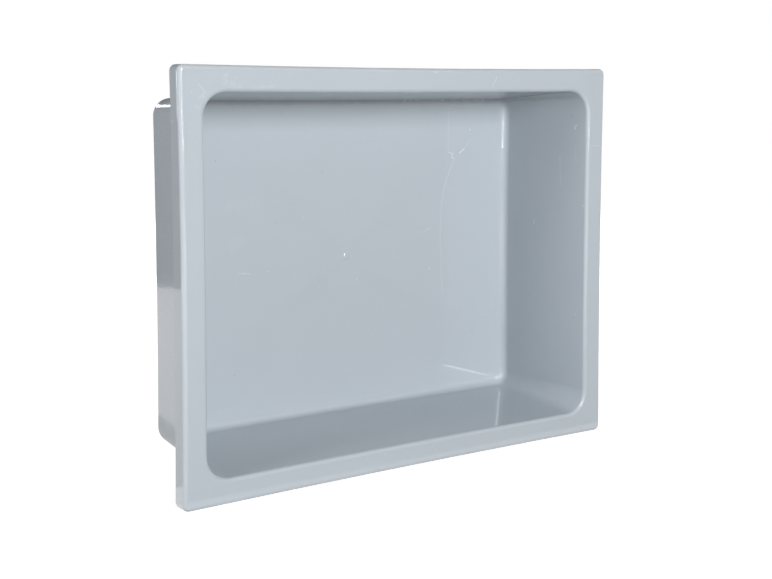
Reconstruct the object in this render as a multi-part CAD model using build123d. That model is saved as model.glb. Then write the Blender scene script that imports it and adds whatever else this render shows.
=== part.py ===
"""A recessed shower shelf: one moulded tub with a turned-back flange round its mouth.

The mouth faces -Y and +Z is up, as the shelf sits in a wall. The origin is the middle of the flange's seat,
the plane of the wall's face: the tub goes into the wall along +Y, and the flange stands in front of it.
"""

import os
from math import cos, radians, tan

from build123d import *

# Overall sizes, in millimetres
WIDTH = 380.0  # across the flange
HEIGHT = 300.0  # up the flange
DEPTH = 98.0  # from the flange's front to the outside of the back wall
WALL = 2.2  # the thickness of every wall

# The flange and the skirt that turns back from it to the seat
FLANGE_WIDTH = 18.0  # from the outer edge to the mouth
SKIRT_DEPTH = 13.5  # from the flange's front to the seat
FLANGE_CORNER_R = 4.5
FRONT_EDGE_R = 3.0  # between the flange's front and the skirt
FLANGE_BOW = 1.2  # how far the middle of each side is pulled in, as a moulding cools

# The tub
DRAFT_DEG = 4.4  # the slope of the walls, for release from the mould
BACK_CORNER_R = 10.0  # the inside corners at the back, which open out towards the mouth
BACK_EDGE_R = 6.0  # inside, where the walls meet the back
MOUTH_EDGE_R = 3.0  # between the flange's front and the inside of the tub
WALL_BOW = 0.8  # how far the middle of each wall is pulled in

# The sharpest inside corner that the mould leaves, and how much of a corner a rounding may take up
ROOT_R = 0.8
ROOM = 0.9

# The mark of the moulding gate, a low dome in the middle of the back wall
GATE_D = 6.0
GATE_RISE = 0.9

# What follows from the sizes above
INSIDE_DEPTH = DEPTH - WALL
SPREAD = INSIDE_DEPTH * tan(radians(DRAFT_DEG))  # how much each wall moves out from back to mouth
MOUTH_CORNER_R = BACK_CORNER_R + SPREAD


def root_r(edge_r):
    """The rounding behind a rounded edge, which keeps the wall as thick there as elsewhere."""
    return max(edge_r - WALL, ROOT_R)


def bowed_outline(width, height, bow, corner_r):
    """A rectangle whose sides dip inwards by bow in the middle, with round corners."""
    x = width / 2
    y = height / 2
    with BuildSketch() as outline:
        with BuildLine():
            ThreePointArc((-x, -y), (0, bow - y), (x, -y))
            ThreePointArc((x, -y), (x - bow, 0), (x, y))
            ThreePointArc((x, y), (0, y - bow), (-x, y))
            ThreePointArc((-x, y), (bow - x, 0), (-x, -y))
        make_face()
        fillet(outline.vertices(), corner_r)
    return outline.sketch


def flange_block(inset, height, edge_r):
    """A block of the flange's outline, inset all round, that rises from the seat to a rounded front."""
    corner_r = max(FLANGE_CORNER_R - inset, ROOT_R)
    outline = bowed_outline(WIDTH - 2 * inset, HEIGHT - 2 * inset, FLANGE_BOW, corner_r)
    block = extrude(outline, height)
    return fillet(block.faces().sort_by(Axis.Z)[-1].edges(), min(edge_r, corner_r * ROOM, height * ROOM))


def tub_block(outset, depth, edge_r):
    """A block of the mouth's outline, set out all round, that tapers from the front to a rounded back."""
    across = 2 * (outset - FLANGE_WIDTH)
    outline = bowed_outline(WIDTH + across, HEIGHT + across, WALL_BOW, MOUTH_CORNER_R + outset)
    block = extrude(Pos(0, 0, SKIRT_DEPTH) * outline, -depth, taper=DRAFT_DEG)
    return fillet(block.faces().sort_by(Axis.Z)[0].edges(), edge_r)


def gate_mark():
    """The gate's dome on the inside of the back wall, with its foot sunk in the wall."""
    gate_r = GATE_D / 2
    dome_r = (gate_r**2 + GATE_RISE**2) / (2 * GATE_RISE)
    dome = Pos(0, 0, GATE_RISE - dome_r) * Sphere(dome_r)
    stem = Cylinder(gate_r, GATE_RISE + WALL / 2, align=(Align.CENTER, Align.CENTER, Align.MIN))
    return Pos(0, 0, SKIRT_DEPTH - INSIDE_DEPTH) * (dome & Pos(0, 0, -WALL / 2) * stem)


def shelf():
    """The whole moulding, drawn on its back with the mouth up, then stood up to face -Y."""
    back_edge_r = min(BACK_EDGE_R, BACK_CORNER_R * ROOM)
    body = flange_block(0, SKIRT_DEPTH, FRONT_EDGE_R)
    body -= flange_block(WALL, SKIRT_DEPTH - WALL, root_r(FRONT_EDGE_R))
    body += tub_block(WALL / cos(radians(DRAFT_DEG)), DEPTH, back_edge_r + WALL)
    channel_roof = body.faces().filter_by(Plane.XY).sort_by(Axis.Z)[-2]
    body = fillet(channel_roof.inner_wires()[0].edges(), root_r(MOUTH_EDGE_R))
    body -= tub_block(0, INSIDE_DEPTH, back_edge_r)
    front = body.faces().sort_by(Axis.Z)[-1]
    body = fillet(front.inner_wires()[0].edges(), MOUTH_EDGE_R)
    body += gate_mark()
    return Rot(90, 0, 0) * body


os.makedirs("parts", exist_ok=True)
moulding = shelf()
moulding.label = "shelf"
export_step(moulding, "parts/shelf.step")
print("volume in cubic centimetres", round(moulding.volume / 1000, 1))
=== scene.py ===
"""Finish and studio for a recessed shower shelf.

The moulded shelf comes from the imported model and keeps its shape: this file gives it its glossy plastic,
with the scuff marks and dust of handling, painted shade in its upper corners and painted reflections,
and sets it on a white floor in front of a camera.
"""

from math import radians, tan

import bmesh
import bpy
from bpy.props import FloatProperty, FloatVectorProperty, PointerProperty
from bpy.types import Operator, Panel, PropertyGroup
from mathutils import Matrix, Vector


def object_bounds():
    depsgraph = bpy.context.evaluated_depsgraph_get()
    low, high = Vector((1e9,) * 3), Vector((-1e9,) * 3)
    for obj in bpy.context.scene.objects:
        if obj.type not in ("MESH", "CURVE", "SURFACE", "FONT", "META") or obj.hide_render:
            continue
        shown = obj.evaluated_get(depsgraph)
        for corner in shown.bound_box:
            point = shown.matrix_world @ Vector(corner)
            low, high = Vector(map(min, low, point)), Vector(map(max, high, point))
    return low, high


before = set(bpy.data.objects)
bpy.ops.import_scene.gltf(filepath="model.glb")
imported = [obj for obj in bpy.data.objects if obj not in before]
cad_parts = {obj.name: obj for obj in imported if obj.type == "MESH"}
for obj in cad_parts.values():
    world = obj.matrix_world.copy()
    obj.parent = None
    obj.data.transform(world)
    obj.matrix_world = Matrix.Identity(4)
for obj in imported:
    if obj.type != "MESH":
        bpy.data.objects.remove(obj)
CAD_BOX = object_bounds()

bl_info = {
    "name": "Shower shelf finish",
    "version": (1, 0, 0),
    "blender": (4, 5, 0),
    "location": "View3D > Sidebar > Shelf",
    "description": "Gives the moulded shower shelf its plastic finish and its studio",
    "category": "Object",
}

NODE = "shelf"
CENTRE = (CAD_BOX[0] + CAD_BOX[1]) / 2
UNDERSIDE = CAD_BOX[0].z
MM = 0.001

# The tub: the slope of its walls, its height to its width, and how far in from the flange's edge
# the middle of a wall's thickness lies at the seat, in metres
WALL_SLOPE = tan(radians(4.4))
TUB_SHAPE = 0.76
WALL_INSET = 0.0183

# Places on the moulding, in millimetres: the flange's front, the inside of the back wall and the gate's dome
WALL = 2.2
FRONT = CAD_BOX[0].y / MM
BACK = CAD_BOX[1].y / MM - WALL
GATE = (0.0, BACK, 0.0)

# The relief of the moulded skin: lumps to the metre, and the height in metres
WAVES = (45.0, 0.00004)
PEEL = (450.0, 0.000001)
DRAG_HEIGHT = 0.00001

# The clouds in the colour, in lumps to the metre, and the rays from the gate: how sharply they are bounded,
# and from how near to how far they fade, in metres
CLOUDS = 14.0
GRAIN = 700.0
FLOW_EDGE = (0.45, 0.5)
FLOW_FADE = (0.03, 0.18)
FLOW_STRENGTH = 0.3

# Patches of noise: lumps to the metre, detail, and between which values of the noise they fade in
DRAG_LINES = (800.0, 2.0, 0.45, 0.75)
SMUDGE_PATCHES = (700.0, 2.0, 0.25, 0.7)
GRIT_GRAINS = (350.0, 1.0, 0.58, 0.63)
SMEARS = (30.0, 3.0, 0.5, 0.75)
# How pale the drag lines are painted, as a painted reflection of their relief, and how strongly the smears
# roughen the skin
DRAG_REFLECTION_STRENGTH = 0.1
SMEAR_STRENGTH = 0.1

# How much slower the drag lines change along the draw than across it
DRAG_STRETCH = 0.3

# Dust: cells to the metre, the share of them without a speck, then the largest speck and its edge in cells
DUST_CELLS = 150.0
DUST_FREE = 0.4
DUST_SIZE = 0.07
DUST_EDGE = 0.03
DUST_STRENGTH = 0.5

# How marks are frayed: lumps to the metre, and the reach in millimetres
MARK_FRAY = (300.0, 0.7)
SMUDGE_FRAY = (250.0, 3.0)
CORNER_SHADE_FRAY = (120.0, 1.5)

# Where the soft edge of a mark begins and ends, in half widths from its middle
STROKE_EDGE = (0.2, 1.5)
SPECK_EDGE = (0.3, 1.2)

PLASTIC_IOR = 1.5
MARK_ROUGHNESS = 0.5

# Wear, grit, painted shade and painted reflections, in millimetres: a stroke has two ends, a speck one
# place, then half the width and the strength
SMUDGES = (
    ((-155.4, FRONT, 138.3), (-155.9, FRONT, 142.5), 2.0, 0.15),
    ((-152.0, FRONT, 136.6), (-145.5, FRONT, 136.2), 1.6, 0.14),
    ((-133.2, FRONT, 134.9), (-120.7, FRONT, 135.6), 1.5, 0.1),
    ((-173.4, FRONT, 128.2), (-171.5, FRONT, 129.5), 1.8, 0.16),
    ((-177.5, FRONT, 122.6), (-175.8, FRONT, 121.2), 1.8, 0.15),
    ((-104.6, BACK, 44.6), (-78.7, BACK, 49.5), 5.0, 0.035),
    ((-101.0, BACK, 14.0), (-93.0, BACK, 20.0), 4.0, 0.045),
)
# Scuff marks, and on the back wall near x = 100 mm the strokes of a painted reflection
SCUFFS_AND_REFLECTIONS = (
    ((-175.6, FRONT, 136.9), (-170.4, FRONT, 131.5), 0.4, 0.25),
    ((175.0, FRONT, 87.7), (185.0, FRONT, 87.6), 0.3, 0.25),
    ((76.2, FRONT, 142.6), (74.6, FRONT, 139.6), 0.4, 0.4),
    ((74.6, FRONT, 139.6), (72.3, FRONT, 135.6), 0.4, 0.3),
    ((17.4, FRONT, 145.4), (19.0, FRONT, 146.4), 0.4, 0.4),
    ((-189.5, -2.6, 112.7), (-189.5, -2.2, 111.5), 0.7, 0.4),
    ((170.6, 1.0, 102.3), (170.4, -1.5, 104.3), 0.5, 0.7),
    ((170.6, 1.0, 102.3), (170.4, -1.2, 100.2), 0.5, 0.7),
    ((169.2, 16.8, 77.6), (169.1, 15.4, 54.1), 0.6, 0.15),
    ((170.6, -0.3, 84.9), (170.6, -1.5, 73.4), 0.4, 0.15),
    ((166.7, 46.0, 23.1), (166.8, 45.6, 19.5), 0.5, 0.45),
    ((171.1, -10.6, 39.2), (171.0, -9.6, 38.0), 0.5, 0.4),
    # From here to the long curve down the back wall: a painted reflection, the mirrored highlight of the
    # mouth's right edge with its wavy kink, and the edge of a reflection running down the wall
    ((102.8, BACK, 117.6), (102.4, BACK, 81.8), 0.4, 0.16),
    ((102.8, BACK, 80.9), (107.4, BACK, 79.0), 0.4, 0.5),
    ((107.4, BACK, 79.0), (106.2, BACK, 76.4), 0.4, 0.5),
    ((106.2, BACK, 76.4), (109.2, BACK, 74.7), 0.4, 0.6),
    ((114.6, BACK, 79.7), (118.9, BACK, 83.0), 0.5, 0.7),
    ((118.9, BACK, 83.0), (126.5, BACK, 90.6), 0.4, 0.2),
    ((109.2, BACK, 74.7), (99.6, BACK, 55.4), 0.6, 0.16),
    ((99.6, BACK, 55.4), (95.4, BACK, 38.5), 0.7, 0.13),
    ((95.4, BACK, 38.5), (94.3, BACK, 8.0), 0.7, 0.11),
    ((94.3, BACK, 8.0), (96.4, BACK, -38.2), 0.7, 0.09),
    ((75.5, BACK, 14.2), (83.8, BACK, 18.0), 0.5, 0.15),
    ((-96.9, BACK, -6.4), (-87.4, BACK, -7.2), 0.5, 0.25),
    ((139.6, BACK, -62.0), (141.0, BACK, -62.4), 0.4, 0.4),
)
PALE_SPECKS = (
    ((125.3, BACK, 99.5), 0.9, 0.55),
    ((-71.6, BACK, -6.9), 0.7, 0.5),
    ((10.5, BACK, -19.9), 0.7, 0.5),
    ((-25.4, BACK, -22.5), 0.7, 0.35),
    ((82.8, BACK, -16.7), 0.8, 0.5),
    ((-40.2, BACK, 33.4), 0.6, 0.6),
    ((170.5, -2.8, -51.7), 0.6, 0.5),
    ((168.9, 20.2, -70.1), 0.6, 0.5),
    ((166.3, 54.9, -82.2), 0.6, 0.5),
    ((-99.6, 49.6, -126.6), 0.7, 0.5),
    ((-37.6, 66.5, -125.1), 0.7, 0.5),
    ((95.2, 55.4, -126.2), 0.7, 0.5),
    ((151.6, 14.4, -129.7), 0.7, 0.5),
)
DARK_SPECKS = (
    ((170.4, 4.4, 111.4), 0.7, 0.75),
    ((128.6, BACK, -74.8), 1.8, 0.08),
    ((-101.1, BACK, -84.9), 0.6, 0.35),
    ((-115.5, BACK, 80.1), 0.6, 0.45),
    ((-64.5, BACK, 30.1), 1.6, 0.06),
    ((-21.7, BACK, 68.4), 0.5, 0.4),
)
# Painted shade: dark strokes along the corner between the back wall and the top wall, and along the corner
# between the right wall and the top wall
CORNER_SHADE = (
    ((-165.0, 79.0, 125.0), (158.0, 79.0, 125.0), 4.0, 0.34),
    ((158.0, 79.0, 125.0), (168.0, -8.0, 130.0), 3.5, 0.3),
)
GRIT = (
    ((55.0, 79.0, 124.5), (158.0, 79.0, 124.5), 3.0, 0.55),
    ((158.0, 79.0, 124.5), (168.0, -8.0, 130.0), 3.0, 0.55),
)

# The floor, in metres: its radius, the grey of its paper, and the glow near the shelf and far from it
FLOOR_RADIUS = 6.0
FLOOR_PAPER = (0.45, 0.45, 0.45)
FLOOR_NEAR = 0.2
FLOOR_FAR = 0.7
FLOOR_NEAR_GLOW = 0.85
FLOOR_FAR_GLOW = 1.0

# Cards that only the gloss of the plastic shows, in metres. Grey ones stand for the room and the shade that
# it mirrors, and bright ones give it its glints. An upright card has a lower corner, the upper corner
# opposite and the brightness.
CARD_FOOT = UNDERSIDE + MM
KEY_Y = -1.57
ROOM_GREY = 0.12
UPRIGHT_CARDS = (
    ("room_behind", (-1.3, 0.56, CARD_FOOT), (-0.2, 1.05, 0.9), ROOM_GREY),
    ("room_behind_right", (-0.2, 1.05, CARD_FOOT), (1.5, 1.05, 0.9), ROOM_GREY),
    ("room_in_front", (1.2, -3.2, CARD_FOOT), (3.5, -1.5, 1.2), ROOM_GREY),
    ("high_glint", (-0.38, KEY_Y, 0.69), (-0.04, KEY_Y, 0.86), 50.0),
    ("low_glint", (-0.26, KEY_Y, 0.012), (-0.18, KEY_Y, 0.075), 80.0),
    ("left_glint", (-0.56, KEY_Y, 0.074), (-0.46, KEY_Y, 0.18), 36.0),
    ("side_glint", (-1.25, -0.33, CARD_FOOT), (-1.25, 0.0, 1.2), 0.3),
    ("behind_glint", (-0.66, 0.56, 0.09), (-0.57, 0.64, 0.2), 14.0),
    ("corner_glint", (-0.28, 0.83, 0.337), (-0.12, 0.83, 0.367), 10.0),
)

# Cards that lie on the floor: four corners and the brightness
FLOOR_CARDS = (
    ("table_in_front", ((-0.2, -0.03), (0.3, -0.03), (3.5, -1.5), (1.2, -3.2)), ROOM_GREY),
    ("floor_glint", ((-0.235, -0.013), (-0.19, -0.013), (-0.19, 0.0405), (-0.235, 0.0405)), 2.1),
    ("shade_behind", ((-0.215, 0.09), (0.2, 0.09), (0.2, 0.25), (-0.215, 0.25)), 0.65),
)

# Soft lamps, in metres: the place, the point that the lamp faces, and its width and height.
# The gloss shows the key lamp alone.
KEY = "key"
LAMPS = (
    (KEY, (-0.18, KEY_Y, 0.39), CENTRE, (0.36, 0.46)),
    ("fill", (-0.24, -2.13, 0.3), CENTRE, (0.5, 0.6)),
    ("side", (-1.25, -0.13, 0.1), (0.0, -0.13, 0.0), (0.25, 1.5)),
    ("left", (-1.28, 0.5, 0.1), (-0.17, 0.03, 0.0), (0.25, 1.5)),
    ("back", (0.8, 1.4, 0.9), CENTRE, (1.2, 1.2)),
)


class ShelfFinish(PropertyGroup):
    """The moulded plastic."""

    colour: FloatVectorProperty(
        name="Colour",
        description="The blue-grey of the plastic",
        subtype="COLOR",
        size=3,
        min=0.0,
        max=1.0,
        default=(0.468, 0.514, 0.555),
    )
    roughness: FloatProperty(
        name="Roughness",
        description="Roughness of the clean, glossy skin",
        subtype="FACTOR",
        min=0.0,
        max=1.0,
        default=0.035,
    )
    variation: FloatProperty(
        name="Variation",
        description="How far the colour drifts to either side",
        subtype="FACTOR",
        min=0.0,
        max=1.0,
        default=0.03,
    )
    # This colour is also laid on the painted reflection lines on the back wall and on the drag lines, as a
    # painted reflection
    scuff_and_reflection_colour: FloatVectorProperty(
        name="Scuffs and reflections",
        description="The colour of scuffs and dust",
        subtype="COLOR",
        size=3,
        min=0.0,
        max=1.0,
        default=(0.82, 0.84, 0.86),
    )
    # The painted shade along the upper corners takes this colour
    corner_shade_colour: FloatVectorProperty(
        name="Corner shade",
        description="The colour of the grime in the upper corners",
        subtype="COLOR",
        size=3,
        min=0.0,
        max=1.0,
        default=(0.12, 0.1, 0.09),
    )
    grit_colour: FloatVectorProperty(
        name="Grit",
        description="The colour of the grit in the upper corners",
        subtype="COLOR",
        size=3,
        min=0.0,
        max=1.0,
        default=(0.5, 0.38, 0.28),
    )


class ShelfStudio(PropertyGroup):
    """The lamps, the room light and the camera."""

    key_power: FloatProperty(
        name="Key lamp",
        description="Power of the lamp in front of the shelf",
        subtype="POWER",
        default=17.2,
    )
    fill_power: FloatProperty(
        name="Fill lamp",
        description="Power of the lower lamp in front of the shelf",
        subtype="POWER",
        default=14.2,
    )
    side_power: FloatProperty(
        name="Side lamp",
        description="Power of the tall lamp on the left",
        subtype="POWER",
        default=9.4,
    )
    left_power: FloatProperty(
        name="Left lamp",
        description="Power of the tall lamp behind the shelf on the left",
        subtype="POWER",
        default=3.0,
    )
    back_power: FloatProperty(
        name="Back lamp",
        description="Power of the soft lamp behind the shelf",
        subtype="POWER",
        default=22.0,
    )
    ambient: FloatProperty(
        name="Room light",
        description="Strength of the even light from all round",
        default=0.055,
    )
    camera_place: FloatVectorProperty(
        name="Camera place",
        description="Where the camera stands",
        subtype="XYZ",
        unit="LENGTH",
        size=3,
        default=(-0.549, -0.7795, 0.133),
    )
    camera_yaw: FloatProperty(
        name="Camera yaw",
        description="How far the camera looks to the right of straight into the shelf",
        subtype="ANGLE",
        default=radians(34.3),
    )
    camera_pitch: FloatProperty(
        name="Camera pitch",
        description="How far the camera looks down",
        subtype="ANGLE",
        default=radians(5.12),
    )
    camera_lens: FloatProperty(
        name="Lens",
        description="Focal length on a 36 mm wide sensor",
        default=59.67,
    )
    camera_shift: FloatProperty(
        name="Lens shift",
        description="How far the view is moved down, as a share of its width",
        default=-0.11,
    )


def add_node(tree, kind, **settings):
    """A new node in the tree, with its settings."""
    node = tree.nodes.new(kind)
    for name, value in settings.items():
        setattr(node, name, value)
    return node


def wired(tree, kind, inputs, **settings):
    """The result of a new node whose inputs are linked to sockets or set to plain values."""
    node = add_node(tree, kind, **settings)
    for key, value in inputs.items():
        if isinstance(value, bpy.types.NodeSocket):
            tree.links.new(value, node.inputs[key])
        else:
            node.inputs[key].default_value = value
    return next(output for output in node.outputs if output.enabled)


def maths(tree, operation, first, second=0.0):
    """The result of a sum on one or two values."""
    return wired(tree, "ShaderNodeMath", {0: first, 1: second}, operation=operation)


def most(tree, *values):
    """The greatest of several values."""
    greatest = values[0]
    for value in values[1:]:
        greatest = maths(tree, "MAXIMUM", greatest, value)
    return greatest


def vectors(tree, operation, first, second=(0.0, 0.0, 0.0)):
    """The result of a sum on one or two vectors."""
    return wired(tree, "ShaderNodeVectorMath", {0: first, 1: second}, operation=operation)


def scaled(tree, vector, factor):
    """A vector times a factor."""
    return wired(tree, "ShaderNodeVectorMath", {0: vector, "Scale": factor}, operation="SCALE")


def along_axes(tree, place):
    """The X, Y and Z of a place, by name."""
    return wired(tree, "ShaderNodeSeparateXYZ", {0: place}).node.outputs


def ramp(tree, value, start, end, low=0.0, high=1.0):
    """A smooth step from low to high while the value goes from start to end."""
    inputs = {"Value": value, "From Min": start, "From Max": end, "To Min": low, "To Max": high}
    return wired(tree, "ShaderNodeMapRange", inputs, interpolation_type="SMOOTHSTEP")


def blend(tree, share, under, over):
    """One colour laid over another by a share from nought to one."""
    return wired(tree, "ShaderNodeMix", {0: share, 6: under, 7: over}, data_type="RGBA")


def noise(tree, place, scale, detail=1.0):
    """Cloudy noise from nought to one, with a number of lumps to the metre."""
    return wired(tree, "ShaderNodeTexNoise", {"Vector": place, "Scale": scale, "Detail": detail})


def patches(tree, place, pattern, strength=1.0):
    """Patches of noise that fade in to a strength."""
    scale, detail, start, end = pattern
    return ramp(tree, noise(tree, place, scale, detail), start, end, 0.0, strength)


def soft_edge(tree, away, half_width, edge):
    """One in the middle of a mark, and down to nought across its soft edge."""
    begin, end = (share * half_width * MM for share in edge)
    return ramp(tree, away, begin, end, 1.0, 0.0)


def stroke(tree, place, start, end, half_width):
    """One on a straight stroke between two points in millimetres, with soft edges."""
    start = Vector(start) * MM
    along = Vector(end) * MM - start
    from_start = vectors(tree, "SUBTRACT", place, start)
    share = vectors(tree, "DOT_PRODUCT", from_start, along / along.length_squared)
    share = wired(tree, "ShaderNodeClamp", {"Value": share})
    away = vectors(tree, "DISTANCE", from_start, scaled(tree, along, share))
    return soft_edge(tree, away, half_width, STROKE_EDGE)


def speck(tree, place, middle, radius):
    """One on a round speck with soft edges."""
    away = vectors(tree, "DISTANCE", place, Vector(middle) * MM)
    return soft_edge(tree, away, radius, SPECK_EDGE)


def marks(tree, place, draw, listed_marks):
    """All the marks of a list together, each drawn at its own strength."""
    drawn = [maths(tree, "MULTIPLY", draw(tree, place, *form), strength) for *form, strength in listed_marks]
    return most(tree, *drawn)


def shaken(tree, place, scale, reach):
    """Places moved at random by up to a reach in millimetres, to fray what is drawn there."""
    cloud = wired(tree, "ShaderNodeTexNoise", {"Vector": place, "Scale": scale}).node.outputs
    shift = vectors(tree, "SUBTRACT", cloud["Color"], (0.5, 0.5, 0.5))
    return vectors(tree, "ADD", place, scaled(tree, shift, 2.0 * reach * MM))


def dust(tree, place):
    """Small pale specks, scattered at random."""
    cells = wired(tree, "ShaderNodeTexVoronoi", {"Vector": place, "Scale": DUST_CELLS}).node.outputs
    chance = wired(tree, "ShaderNodeSeparateColor", {0: cells["Color"]})
    size = ramp(tree, chance, DUST_FREE, 1.0, 0.0, DUST_SIZE)
    inside = maths(tree, "SUBTRACT", size, cells["Distance"])
    return ramp(tree, inside, 0.0, DUST_EDGE, 0.0, DUST_STRENGTH)


def flow_marks(tree, place):
    """Faint rays from the gate to the corners of the back wall, where the plastic's flows met."""
    from_gate = vectors(tree, "SUBTRACT", place, Vector(GATE) * MM)
    from_gate = vectors(tree, "MULTIPLY", from_gate, (TUB_SHAPE, 0.0, 1.0))
    heading = along_axes(tree, vectors(tree, "NORMALIZE", from_gate))
    slant = maths(tree, "ABSOLUTE", maths(tree, "MULTIPLY", heading["X"], heading["Z"]))
    rays = ramp(tree, slant, *FLOW_EDGE)
    reach = ramp(tree, vectors(tree, "LENGTH", from_gate), *FLOW_FADE, 1.0, 0.0)
    return maths(tree, "MULTIPLY", rays, reach)


def outside(tree, place):
    """One on the outside of the tub, behind the flange's seat."""
    axes = along_axes(tree, place)
    lean = maths(tree, "MULTIPLY", axes["Y"], WALL_SLOPE)
    wide = maths(tree, "ADD", maths(tree, "ABSOLUTE", axes["X"]), lean)
    high = maths(tree, "ADD", maths(tree, "ABSOLUTE", axes["Z"]), lean)
    past_side = maths(tree, "GREATER_THAN", wide, CAD_BOX[1].x - WALL_INSET)
    past_top = maths(tree, "GREATER_THAN", high, CAD_BOX[1].z - WALL_INSET)
    past_back = maths(tree, "GREATER_THAN", axes["Y"], CAD_BOX[1].y - MM)
    behind_seat = maths(tree, "GREATER_THAN", axes["Y"], MM)
    return maths(tree, "MULTIPLY", most(tree, past_side, past_top, past_back), behind_seat)


def drag_marks(tree, place):
    """Fine lines on the outside, along the way that the mould was drawn off: relief in the bump, and in the
    colour a pale, painted reflection of that relief.
    """
    axes = along_axes(tree, place)
    squared_up = {"Y": maths(tree, "MULTIPLY", axes["Y"], DRAG_STRETCH)}
    for axis, half in (("X", CAD_BOX[1].x - WALL_INSET), ("Z", CAD_BOX[1].z - WALL_INSET)):
        widening = maths(tree, "ADD", maths(tree, "MULTIPLY", axes["Y"], WALL_SLOPE / half), 1.0)
        squared_up[axis] = maths(tree, "MULTIPLY", axes[axis], widening)
    lines = patches(tree, wired(tree, "ShaderNodeCombineXYZ", squared_up), DRAG_LINES)
    return maths(tree, "MULTIPLY", lines, outside(tree, place))


def skin(tree, place, drag):
    """The normal of the moulded skin: slow waves, fine orange peel and the outside's drag marks."""
    wave_lumps, wave_height = WAVES
    peel_lumps, peel_height = PEEL
    waves = noise(tree, place, wave_lumps)
    normal = wired(tree, "ShaderNodeBump", {"Height": waves, "Distance": wave_height})
    peel = noise(tree, place, peel_lumps)
    normal = wired(tree, "ShaderNodeBump", {"Height": peel, "Distance": peel_height, "Normal": normal})
    return wired(tree, "ShaderNodeBump", {"Height": drag, "Distance": DRAG_HEIGHT, "Normal": normal})


def clean_colour(tree, place, finish):
    """The colour of the clean plastic, which drifts in soft clouds and along the flow marks."""
    cloud = maths(tree, "ADD", noise(tree, place, CLOUDS, 2.0), noise(tree, place, GRAIN))
    flow = maths(tree, "MULTIPLY", flow_marks(tree, place), FLOW_STRENGTH)
    share = maths(tree, "MULTIPLY", maths(tree, "SUBTRACT", cloud, flow), 0.5)
    pale = Vector(finish.colour) * (1.0 + finish.variation)
    deep = Vector(finish.colour) * (1.0 - finish.variation)
    return blend(tree, share, (*deep, 1.0), (*pale, 1.0))


def pale_wear_and_reflections(tree, place, frayed, drag):
    """How pale a place is laid on: scuffed places, smudges and dust, the painted reflection lines on the
    back wall, and the drag lines, whose pale colour is a painted reflection.
    """
    smudges = marks(tree, shaken(tree, place, *SMUDGE_FRAY), stroke, SMUDGES)
    return most(
        tree,
        marks(tree, frayed, stroke, SCUFFS_AND_REFLECTIONS),
        marks(tree, frayed, speck, PALE_SPECKS),
        dust(tree, place),
        maths(tree, "MULTIPLY", smudges, patches(tree, place, SMUDGE_PATCHES)),
        maths(tree, "MULTIPLY", drag, DRAG_REFLECTION_STRENGTH),
    )


def dark_specks_and_shade(tree, place, frayed):
    """How much of a place is darkened: by dark specks, and by the painted shade along the upper corners."""
    darkening = marks(tree, shaken(tree, place, *CORNER_SHADE_FRAY), stroke, CORNER_SHADE)
    return most(tree, darkening, marks(tree, frayed, speck, DARK_SPECKS))


def gritty_wear(tree, place):
    """How much of a place is under grains of grit."""
    return maths(tree, "MULTIPLY", marks(tree, place, stroke, GRIT), patches(tree, place, GRIT_GRAINS))


def moulded_plastic(finish):
    """Glossy blue-grey plastic with flow marks, scuff marks, dust and grit, painted shade along the upper
    corners and painted reflections on the back wall and on the outside.
    """
    material = bpy.data.materials.new("moulded_plastic")
    material.use_nodes = True
    tree = material.node_tree
    shader = tree.nodes["Principled BSDF"]
    shader.inputs["IOR"].default_value = PLASTIC_IOR
    place = add_node(tree, "ShaderNodeTexCoord").outputs["Object"]
    frayed = shaken(tree, place, *MARK_FRAY)
    drag = drag_marks(tree, place)
    scuffs_and_reflections = pale_wear_and_reflections(tree, place, frayed, drag)
    darkening = dark_specks_and_shade(tree, place, frayed)
    grit = gritty_wear(tree, place)

    colour = clean_colour(tree, place, finish)
    # Pale marks: scuffed places, smudges and dust, the painted reflection lines on the back wall and the
    # drag lines' painted reflection
    colour = blend(tree, scuffs_and_reflections, colour, (*finish.scuff_and_reflection_colour, 1.0))
    # Dark specks, and the painted shade along the upper corners
    colour = blend(tree, darkening, colour, (*finish.corner_shade_colour, 1.0))
    colour = blend(tree, grit, colour, (*finish.grit_colour, 1.0))
    tree.links.new(colour, shader.inputs["Base Color"])

    # Rougher at the marks, the grit and the smears, and also under the painted shade and the painted
    # reflections
    roughened = most(tree, scuffs_and_reflections, darkening, grit, patches(tree, place, SMEARS, SMEAR_STRENGTH))
    rough = ramp(tree, roughened, 0.0, 1.0, finish.roughness, MARK_ROUGHNESS)
    tree.links.new(rough, shader.inputs["Roughness"])
    tree.links.new(skin(tree, place, drag), shader.inputs["Normal"])
    return material


def seen_directly(tree):
    """One where the camera, a reflection or a clear material looks, and nought for the light that falls."""
    path = add_node(tree, "ShaderNodeLightPath").outputs
    return most(tree, path["Is Camera Ray"], path["Is Glossy Ray"], path["Is Transmission Ray"])


def show(tree, output_kind, shader):
    """End the tree in an output node that shows the shader."""
    output = add_node(tree, output_kind)
    tree.links.new(shader, output.inputs["Surface"])


def bare_material(name):
    """A new material with an empty tree."""
    material = bpy.data.materials.new(name)
    material.use_nodes = True
    material.node_tree.nodes.clear()
    return material


def white_world(studio):
    """An even room light, which shows as plain white behind the shelf and in its gloss."""
    world = bpy.data.worlds.new("white_room")
    world.use_nodes = True
    tree = world.node_tree
    tree.nodes.clear()
    light = wired(tree, "ShaderNodeBackground", {"Strength": studio.ambient})
    white = wired(tree, "ShaderNodeBackground", {"Color": (1.0, 1.0, 1.0, 1.0)})
    room = wired(tree, "ShaderNodeMixShader", {0: seen_directly(tree), 1: light, 2: white})
    show(tree, "ShaderNodeOutputWorld", room)
    bpy.context.scene.world = world


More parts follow.
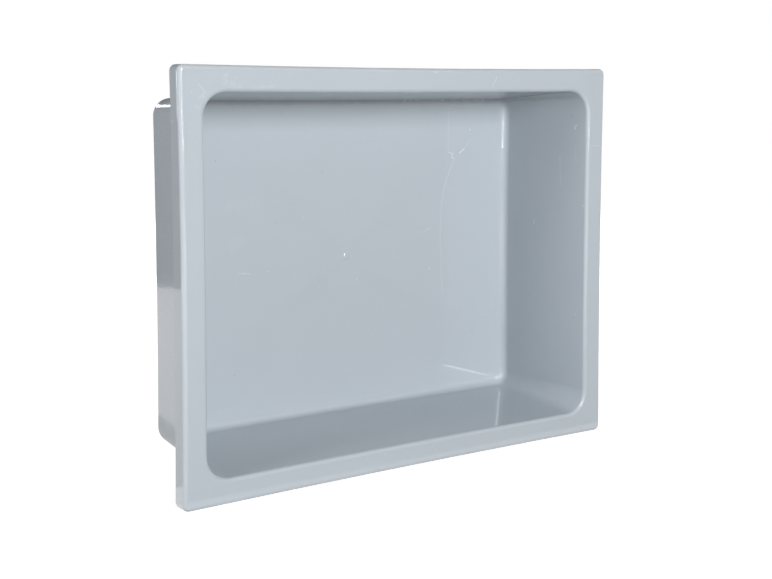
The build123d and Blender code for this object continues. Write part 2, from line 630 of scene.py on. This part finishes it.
def white_floor():
    """A wide white floor under the shelf, which melts into the background away from the shadow."""
    place = (CENTRE.x, CENTRE.y, UNDERSIDE)
    bpy.ops.mesh.primitive_circle_add(vertices=96, radius=FLOOR_RADIUS, fill_type="NGON", location=place)
    floor = bpy.context.object
    floor.name = "floor"
    material = bare_material("white_floor")
    tree = material.node_tree
    paper = wired(tree, "ShaderNodeBsdfDiffuse", {"Color": (*FLOOR_PAPER, 1.0)})
    away = vectors(tree, "LENGTH", add_node(tree, "ShaderNodeTexCoord").outputs["Object"])
    white = ramp(tree, away, FLOOR_NEAR, FLOOR_FAR, FLOOR_NEAR_GLOW, FLOOR_FAR_GLOW)
    shown = maths(tree, "MULTIPLY", white, seen_directly(tree))
    glow = wired(tree, "ShaderNodeEmission", {"Strength": shown})
    show(tree, "ShaderNodeOutputMaterial", wired(tree, "ShaderNodeAddShader", {0: paper, 1: glow}))
    floor.data.materials.append(material)


def gloss_card(name, corners, brightness):
    """A flat glowing card with these corners, which only the gloss of the plastic shows."""
    mesh = bpy.data.meshes.new(name)
    sheet = bmesh.new()
    sheet.faces.new([sheet.verts.new(corner) for corner in corners])
    sheet.to_mesh(mesh)
    sheet.free()
    material = bare_material(name)
    material.cycles.emission_sampling = "NONE"
    tree = material.node_tree
    show(tree, "ShaderNodeOutputMaterial", wired(tree, "ShaderNodeEmission", {"Strength": brightness}))
    mesh.materials.append(material)
    card = bpy.data.objects.new(name, mesh)
    card.visible_camera = False
    card.visible_diffuse = False
    card.visible_shadow = False
    card.visible_transmission = False
    bpy.context.scene.collection.objects.link(card)


def gloss_cards():
    """All the cards, upright and on the floor."""
    for name, low, high, brightness in UPRIGHT_CARDS:
        corners = (low, (high[0], high[1], low[2]), high, (low[0], low[1], high[2]))
        gloss_card(name, corners, brightness)
    for name, outline, brightness in FLOOR_CARDS:
        corners = [(x, y, CARD_FOOT) for x, y in outline]
        gloss_card(name, corners, brightness)


def soft_lamp(name, place, aim, size, power):
    """A rectangular soft lamp at place that faces the point aim."""
    data = bpy.data.lights.new(name, "AREA")
    data.shape = "RECTANGLE"
    data.size, data.size_y = size
    data.energy = power
    lamp = bpy.data.objects.new(name, data)
    lamp.location = place
    lamp.rotation_euler = (Vector(aim) - Vector(place)).to_track_quat("-Z", "Y").to_euler()
    lamp.visible_camera = False
    bpy.context.scene.collection.objects.link(lamp)
    return lamp


def soft_lamps(studio):
    """All the lamps, at the studio's powers."""
    for name, place, aim, size in LAMPS:
        lamp = soft_lamp(f"{name}_lamp", place, aim, size, getattr(studio, f"{name}_power"))
        lamp.visible_glossy = name == KEY


def place_camera(studio):
    """The camera, to the left of the shelf and a little below its upper edge."""
    data = bpy.data.cameras.new("camera")
    data.lens = studio.camera_lens
    data.shift_y = studio.camera_shift
    camera = bpy.data.objects.new("camera", data)
    camera.location = studio.camera_place
    camera.rotation_euler = (radians(90) - studio.camera_pitch, 0.0, -studio.camera_yaw)
    bpy.context.scene.collection.objects.link(camera)
    bpy.context.scene.camera = camera


class SHELF_OT_finish_moulding(Operator):
    """Give the moulded shelf its glossy plastic"""

    bl_idname = "shelf.finish_moulding"
    bl_label = "Finish the moulding"

    def execute(self, context):
        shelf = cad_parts[NODE]
        shelf.data.materials.clear()
        shelf.data.materials.append(moulded_plastic(context.scene.shelf_finish))
        return {"FINISHED"}


class SHELF_OT_set_stage(Operator):
    """Set the white floor, the cards, the lamps and the camera"""

    bl_idname = "shelf.set_stage"
    bl_label = "Set the stage"

    def execute(self, context):
        studio = context.scene.shelf_studio
        context.scene.view_settings.view_transform = "Standard"
        white_world(studio)
        white_floor()
        gloss_cards()
        soft_lamps(studio)
        place_camera(studio)
        return {"FINISHED"}


class SHELF_PT_panel(Panel):
    """The shelf's finish and studio"""

    bl_label = "Shower shelf"
    bl_space_type = "VIEW_3D"
    bl_region_type = "UI"
    bl_category = "Shelf"

    def draw(self, context):
        for group in (context.scene.shelf_finish, context.scene.shelf_studio):
            box = self.layout.box()
            for name in group.__annotations__:
                box.prop(group, name)
        for operator in OPERATORS:
            self.layout.operator(operator.bl_idname)


OPERATORS = (SHELF_OT_finish_moulding, SHELF_OT_set_stage)
CLASSES = (ShelfFinish, ShelfStudio, *OPERATORS, SHELF_PT_panel)


def register():
    for cls in CLASSES:
        bpy.utils.register_class(cls)
    bpy.types.Scene.shelf_finish = PointerProperty(type=ShelfFinish)
    bpy.types.Scene.shelf_studio = PointerProperty(type=ShelfStudio)


def unregister():
    del bpy.types.Scene.shelf_studio
    del bpy.types.Scene.shelf_finish
    for cls in reversed(CLASSES):
        bpy.utils.unregister_class(cls)


def main():
    """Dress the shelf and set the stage."""
    register()
    bpy.ops.shelf.finish_moulding()
    bpy.ops.shelf.set_stage()


if __name__ == "__main__":
    main()
